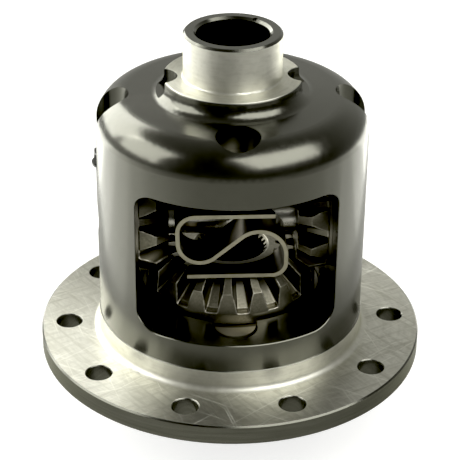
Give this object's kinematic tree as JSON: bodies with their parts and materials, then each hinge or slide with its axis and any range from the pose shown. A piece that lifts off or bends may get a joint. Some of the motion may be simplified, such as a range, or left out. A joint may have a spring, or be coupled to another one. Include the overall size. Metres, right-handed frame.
{
  "type": "limited slip differential",
  "caption": "Axle differential: windowed black iron case with a ring gear flange, bearing journals, bevel gears, cross pin, S-shaped preload spring and clutch packs.",
  "frame": {"origin": "centre of the ring gear seat, the upper face of the bolt flange, on the axle axis", "axes": "+Z along the axle axis from the flange towards the dome end, -Y out of the front window, +X along the cross pin, away from its lock bolt"},
  "size_m": [0.1838, 0.1836, 0.1963],
  "materials": {
    "case_iron": "black oxide coating on the barrel and dome, bare machined flange and journals",
    "ground_steel": "ground",
    "black_bolt": "black oxide",
    "spring_steel": "oiled spring steel, dark faces and bare sheared edges",
    "washer_steel": "satin",
    "gear_steel": "forged and cut, lightly oiled",
    "plate_steel": "stamped, satin",
    "friction_disc": "matte friction faces"
  },
  "bodies": {
    "case": {"differential_case": "case_iron", "cross_pin": "ground_steel", "lock_bolt": "black_bolt", "preload_s_spring": "spring_steel", "left_pinion_washer": "washer_steel", "right_pinion_washer": "washer_steel", "lower_shim": "washer_steel", "upper_shim": "washer_steel", "lower_steel_plate_1": "plate_steel", "lower_steel_plate_2": "plate_steel", "lower_steel_plate_3": "plate_steel", "lower_steel_plate_4": "plate_steel", "upper_steel_plate_1": "plate_steel", "upper_steel_plate_2": "plate_steel", "upper_steel_plate_3": "plate_steel", "upper_steel_plate_4": "plate_steel"},
    "lower_side_gear": {"lower_side_gear": "gear_steel", "lower_friction_disc_1": "friction_disc", "lower_friction_disc_2": "friction_disc", "lower_friction_disc_3": "friction_disc"},
    "upper_side_gear": {"upper_side_gear": "gear_steel", "upper_friction_disc_1": "friction_disc", "upper_friction_disc_2": "friction_disc", "upper_friction_disc_3": "friction_disc"},
    "left_pinion_gear": {"left_pinion_gear": "gear_steel"},
    "right_pinion_gear": {"right_pinion_gear": "gear_steel"}
  },
  "joints": [
    {"name": "lower_side_gear_spin", "type": "hinge", "parent": "case", "child": "lower_side_gear", "pos_m": [0, 0, 0.0585], "axis": [0, 0, 1], "continuous": true},
    {"name": "upper_side_gear_spin", "type": "hinge", "parent": "case", "child": "upper_side_gear", "pos_m": [0, 0, 0.0585], "axis": [0, 0, 1], "continuous": true},
    {"name": "left_pinion_spin", "type": "hinge", "parent": "case", "child": "left_pinion_gear", "pos_m": [-0.037, 0, 0.0585], "axis": [1, 0, 0], "continuous": true},
    {"name": "right_pinion_spin", "type": "hinge", "parent": "case", "child": "right_pinion_gear", "pos_m": [0.037, 0, 0.0585], "axis": [1, 0, 0], "continuous": true}
  ],
  "couplings": [
    {"joint": "upper_side_gear_spin", "follows": "lower_side_gear_spin", "ratio": -1},
    {"joint": "left_pinion_spin", "follows": "lower_side_gear_spin", "ratio": -1.7},
    {"joint": "right_pinion_spin", "follows": "lower_side_gear_spin", "ratio": 1.7}
  ]
}
